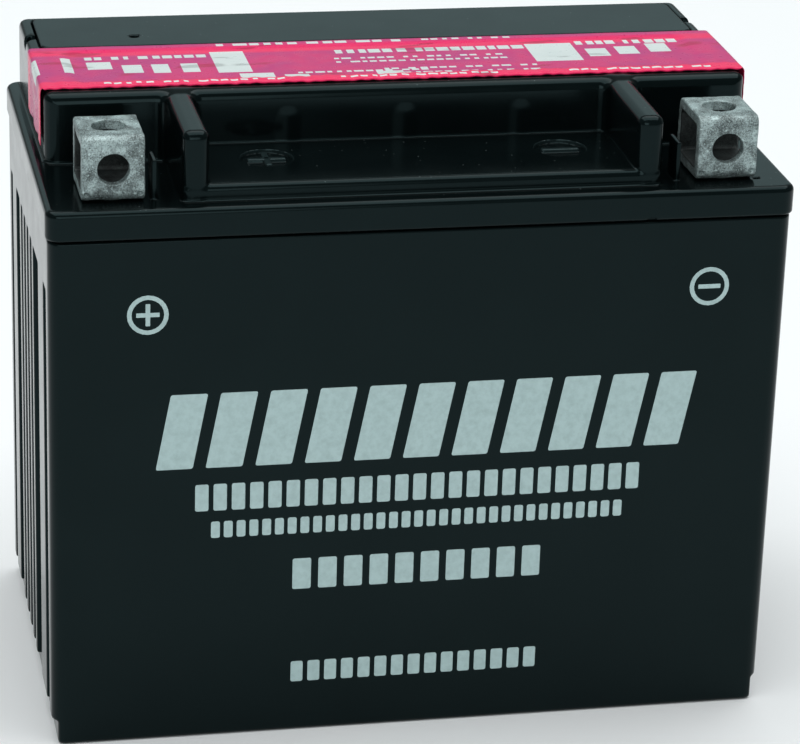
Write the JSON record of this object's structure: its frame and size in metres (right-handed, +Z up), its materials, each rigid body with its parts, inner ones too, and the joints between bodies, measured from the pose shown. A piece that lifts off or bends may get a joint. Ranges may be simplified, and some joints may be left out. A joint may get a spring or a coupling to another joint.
{
  "type": "motorcycle battery",
  "caption": "Sealed absorbed-glass-mat motorcycle battery with ribbed case, raised lid, box terminals and a peel-off foil seal.",
  "frame": {"origin": "middle of the base, on the surface that the battery stands on", "axes": "+X along the length from the positive to the negative terminal, +Y from the front face, where the terminals are, to the back, +Z up"},
  "size_m": [0.15, 0.087, 0.13],
  "materials": {
    "case_plastic": "satin moulded black",
    "lid_plastic": "satin moulded black",
    "cover_plastic": "satin moulded black",
    "foil": "printed foil, slightly creased",
    "terminal_lead": "oxidised grey lead",
    "cast_lead": "cast lead",
    "positive_plate": "matt brown paste",
    "negative_plate": "matt grey paste",
    "glass_mat": "white glass felt",
    "valve_rubber": "matt black rubber",
    "porous_plug": "porous off-white"
  },
  "bodies": {
    "root": {"case": "case_plastic", "lid_shoulder": "lid_plastic", "lid_tray": "lid_plastic", "lid_filler_deck": "lid_plastic", "lid_vent_deck": "lid_plastic", "vent_cover": "cover_plastic", "positive_terminal": "terminal_lead", "negative_terminal": "terminal_lead", "positive_post": "cast_lead", "negative_post": "cast_lead", "cell_1_positive_plates": "positive_plate", "cell_1_negative_plates": "negative_plate", "cell_1_separator_pack": "glass_mat", "cell_2_positive_plates": "positive_plate", "cell_2_negative_plates": "negative_plate", "cell_2_separator_pack": "glass_mat", "cell_3_positive_plates": "positive_plate", "cell_3_negative_plates": "negative_plate", "cell_3_separator_pack": "glass_mat", "cell_4_positive_plates": "positive_plate", "cell_4_negative_plates": "negative_plate", "cell_4_separator_pack": "glass_mat", "cell_5_positive_plates": "positive_plate", "cell_5_negative_plates": "negative_plate", "cell_5_separator_pack": "glass_mat", "cell_6_positive_plates": "positive_plate", "cell_6_negative_plates": "negative_plate", "cell_6_separator_pack": "glass_mat", "lid_partition_1": "lid_plastic", "lid_partition_2": "lid_plastic", "lid_partition_3": "lid_plastic", "lid_partition_4": "lid_plastic", "lid_partition_5": "lid_plastic", "intercell_connector_1": "cast_lead", "intercell_connector_2": "cast_lead", "intercell_connector_3": "cast_lead", "intercell_connector_4": "cast_lead", "intercell_connector_5": "cast_lead", "valve_cap_1": "valve_rubber", "valve_cap_2": "valve_rubber", "valve_cap_3": "valve_rubber", "valve_cap_4": "valve_rubber", "valve_cap_5": "valve_rubber", "valve_cap_6": "valve_rubber", "flame_arrestor_left": "porous_plug", "flame_arrestor_right": "porous_plug"},
    "seal": {"seal_strip": "foil"}
  },
  "joints": [
    {"name": "seal_lift", "type": "slide", "parent": "root", "child": "seal", "axis": [0, 0, 1], "range_m": [0, 0.06]}
  ]
}
